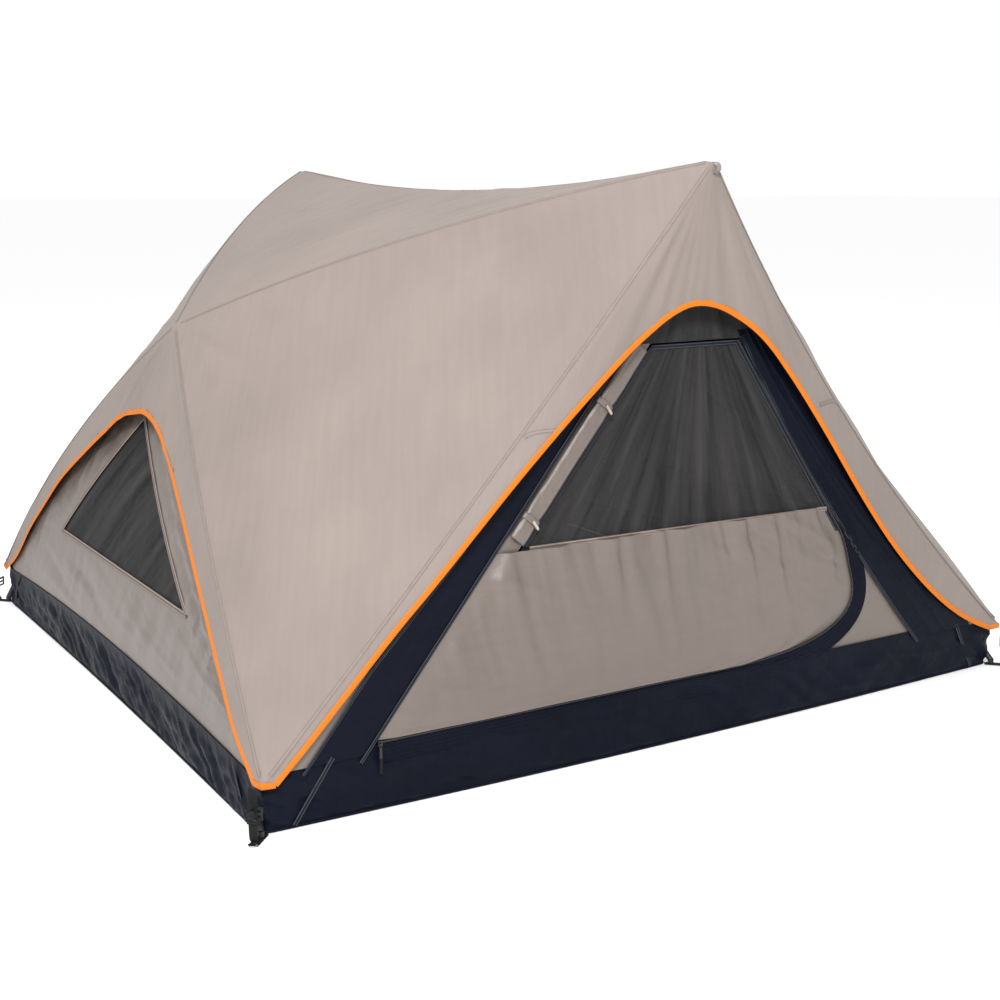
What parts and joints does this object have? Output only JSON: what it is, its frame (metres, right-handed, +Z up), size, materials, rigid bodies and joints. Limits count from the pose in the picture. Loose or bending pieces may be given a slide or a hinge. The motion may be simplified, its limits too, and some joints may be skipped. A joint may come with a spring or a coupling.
{
  "type": "a-frame tent",
  "caption": "A-frame tent with a sloping fly over an inner tent, arched openings, a swinging mesh door at each end and crossed hoop poles.",
  "frame": {"origin": "centre of the footprint, on the ground", "axes": "+Z up; -Y out of the front door; X across the doors"},
  "size_m": [2.4832, 2.49, 1.4979],
  "materials": {
    "fly": "matt coated polyester, plain weave",
    "fly_roof": "matt coated polyester, plain weave",
    "inner_cloth": "breathable polyester, plain weave",
    "navy_cloth": "coated oxford cloth",
    "mesh": "fine insect mesh",
    "piping": "satin woven piping",
    "webbing": "woven webbing",
    "plastic": "moulded nylon",
    "pole": "pultruded fibreglass tube",
    "steel": "plated steel",
    "zip_metal": "black enamel on die-cast zinc",
    "elastic": "braided cover",
    "toggle": "moulded barrel on a cloth loop"
  },
  "bodies": {
    "tent": {"floor_sheet": "navy_cloth", "bathtub_front": "navy_cloth", "bathtub_back": "navy_cloth", "bathtub_left": "navy_cloth", "bathtub_right": "navy_cloth", "bathtub_corners": "navy_cloth", "front_band_left": "navy_cloth", "front_band_right": "navy_cloth", "front_hinge_strip": "inner_cloth", "front_corner_gore": "inner_cloth", "front_zip_facing": "navy_cloth", "front_top_mesh": "mesh", "back_band_left": "navy_cloth", "back_band_right": "navy_cloth", "back_hinge_strip": "inner_cloth", "back_corner_gore": "inner_cloth", "back_zip_facing": "navy_cloth", "back_top_mesh": "mesh", "front_privacy_roll": "inner_cloth", "back_privacy_roll": "inner_cloth", "roll_toggles": "toggle", "side_wall_left": "inner_cloth", "side_window_left": "mesh", "side_wall_right": "inner_cloth", "side_window_right": "mesh", "inner_gores_front": "inner_cloth", "inner_gores_back": "inner_cloth", "inner_roof_left": "inner_cloth", "inner_roof_right": "inner_cloth", "fly_roof_left": "fly_roof", "fly_roof_right": "fly_roof", "fly_gore_front_left": "fly", "fly_gore_front_right": "fly", "fly_gore_back_left": "fly", "fly_gore_back_right": "fly", "fly_gable_front": "fly", "fly_gable_back": "fly", "fly_gusset_left": "fly", "fly_gusset_right": "fly", "gable_piping": "piping", "gusset_piping": "piping", "fly_straps": "webbing", "ladder_buckles": "plastic", "peak_tabs": "webbing", "pole_legs": "pole", "pole_arms": "pole", "pole_ferrules": "steel", "shoulder_hubs": "plastic", "crown_elbows": "plastic", "foot_tips": "plastic", "shock_cords": "elastic", "hang_clips": "plastic", "corner_anchors": "webbing", "peg_eyelets": "steel"},
    "front_door": {"front_door_panel": "inner_cloth", "front_door_mesh": "mesh"},
    "back_door": {"back_door_panel": "inner_cloth", "back_door_mesh": "mesh"},
    "front_slider": {"front_zip_slider": "zip_metal"},
    "back_slider": {"back_zip_slider": "zip_metal"}
  },
  "joints": [
    {"name": "front_door_swing", "type": "hinge", "parent": "tent", "child": "front_door", "pos_m": [-0.4865, -1.15325, 0.60994], "axis": [-0.6317, -0.0111, -0.7752], "range_deg": [0, 95]},
    {"name": "back_door_swing", "type": "hinge", "parent": "tent", "child": "back_door", "pos_m": [0.4865, 1.15325, 0.60994], "axis": [0.6317, 0.0111, -0.7752], "range_deg": [0, 95]},
    {"name": "front_zip_run", "type": "slide", "parent": "tent", "child": "front_slider", "axis": [1, 0, 0], "range_m": [0, 1.2]},
    {"name": "back_zip_run", "type": "slide", "parent": "tent", "child": "back_slider", "axis": [-1, 0, 0], "range_m": [0, 1.2]}
  ]
}
